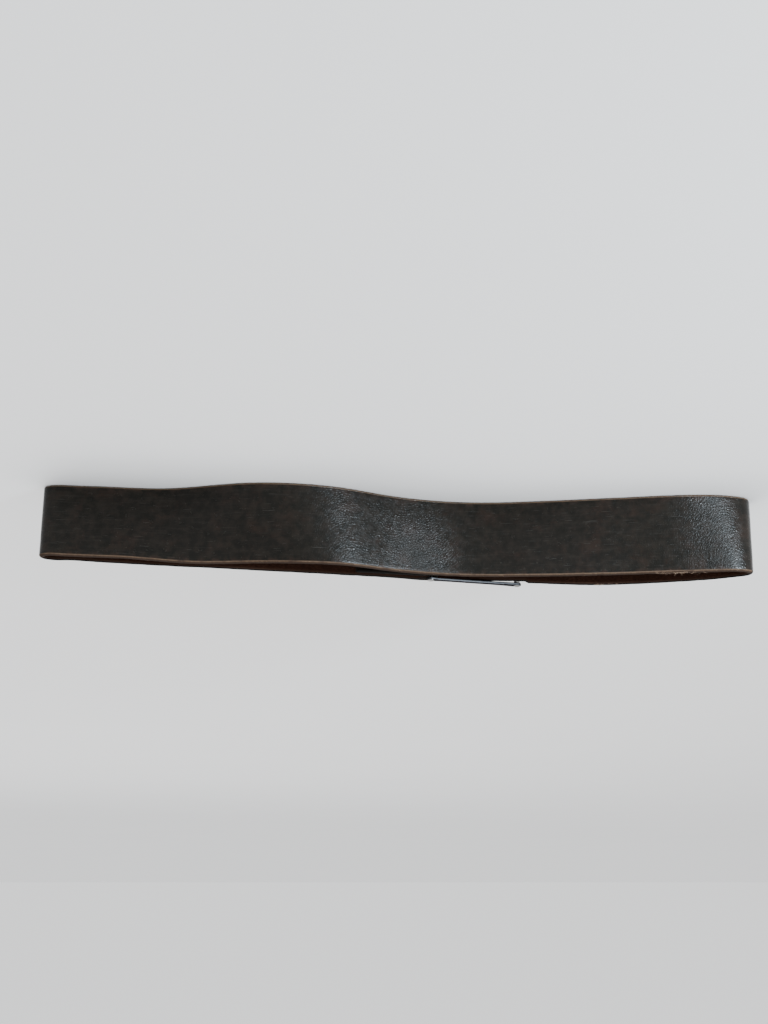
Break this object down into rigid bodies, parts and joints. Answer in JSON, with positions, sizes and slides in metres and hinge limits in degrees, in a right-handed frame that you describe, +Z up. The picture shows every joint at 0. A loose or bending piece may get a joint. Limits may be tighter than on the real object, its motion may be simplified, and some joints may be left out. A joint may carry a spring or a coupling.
{
  "type": "leather belt strop",
  "caption": "Dark leather strap buckled into a long flattened loop with a slim metal frame buckle and prong; worn as a belt or used to strop blades",
  "frame": {"origin": "on the floor, under the middle of the loop's box", "axes": "+X along the loop, +Y from the plain run towards the buckled run, +Z up across the strap's width"},
  "size_m": [0.4039, 0.0651, 0.0458],
  "materials": {
    "strap_leather": "waxed, worn, satin",
    "strap_edge": "raw cut edge",
    "strap_flesh": "suede flesh side",
    "buckle_metal": "dark gunmetal, worn",
    "bar_metal": "bright worn steel",
    "screw_metal": "antique brass"
  },
  "bodies": {
    "strap_body": {"strap": "strap_leather", "screw_post_lower": "screw_metal", "screw_post_upper": "screw_metal", "screw_cap_lower": "screw_metal", "screw_cap_upper": "screw_metal"},
    "buckle": {"rail_lower": "buckle_metal", "rail_upper": "buckle_metal", "front_bar": "bar_metal", "heel_bar": "bar_metal"},
    "prong_body": {"prong": "bar_metal"}
  },
  "joints": [
    {"name": "buckle_hinge", "type": "hinge", "parent": "strap_body", "child": "buckle", "pos_m": [-0.0163, 0.01346, 0.023], "axis": [0, 0, 1], "range_deg": [-8, 0]},
    {"name": "prong_hinge", "type": "hinge", "parent": "buckle", "child": "prong_body", "pos_m": [-0.0163, 0.01346, 0.023], "axis": [0, 0, 1], "range_deg": [-7, 0]}
  ]
}
